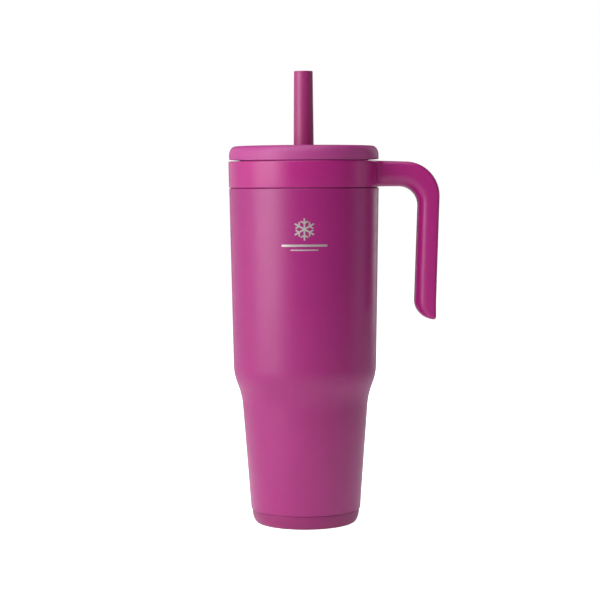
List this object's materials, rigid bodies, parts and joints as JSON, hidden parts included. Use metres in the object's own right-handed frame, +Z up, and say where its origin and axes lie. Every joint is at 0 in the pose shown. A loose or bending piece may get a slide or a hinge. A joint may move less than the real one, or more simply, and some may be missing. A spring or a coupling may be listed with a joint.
{
  "type": "insulated tumbler with lid",
  "caption": "Insulated steel tumbler with slim cup-holder base, collar with open side handle, press-in lid with turning sip dial, and central straw.",
  "frame": {"origin": "middle of the base's underside, on the cup's axis", "axes": "+Z up along the cup's axis, +X towards the handle"},
  "size_m": [0.1411, 0.1012, 0.3039],
  "materials": {
    "powder_coat": "fine textured magenta powder coat, satin",
    "steel": "brushed stainless steel",
    "solder": "dull brazed sealing pellet",
    "getter_metal": "sintered dark grey metal",
    "foam": "adhesive foam",
    "base_plastic": "smooth moulded magenta, matte",
    "silicone": "matte silicone",
    "core_plastic": "rigid moulded plastic",
    "soft_grip": "soft-touch magenta, fine matte",
    "lid_plastic": "moulded magenta plastic, satin",
    "straw_clear": "frosted clear tube",
    "straw_plastic": "moulded magenta plastic, satin"
  },
  "bodies": {
    "tumbler": {"outer_shell": "powder_coat", "inner_liner": "steel", "base_plate": "steel", "vacuum_seal": "solder", "getter": "getter_metal", "getter_strap": "steel", "base_adhesive": "foam", "base_cap": "base_plastic", "collar_seal": "silicone", "handle_core": "core_plastic", "handle_skin": "soft_grip"},
    "lid": {"lid_body": "lid_plastic", "lid_gasket": "silicone"},
    "dial": {"dial_cover": "lid_plastic", "dial_seal": "silicone", "hub_oring": "silicone", "hub_retainer": "core_plastic", "straw_grommet": "silicone"},
    "straw": {"straw_tube": "straw_clear", "straw_tip": "straw_plastic"}
  },
  "joints": [
    {"name": "lid_lift", "type": "slide", "parent": "tumbler", "child": "lid", "axis": [0, 0, 1], "range_m": [0, 0.245]},
    {"name": "dial_turn", "type": "hinge", "parent": "lid", "child": "dial", "pos_m": [0, 0, 0.2522], "axis": [0, 0, 1], "range_deg": [0, 70]},
    {"name": "straw_slide", "type": "slide", "parent": "dial", "child": "straw", "axis": [0, 0, 1], "range_m": [0, 0.24]}
  ]
}
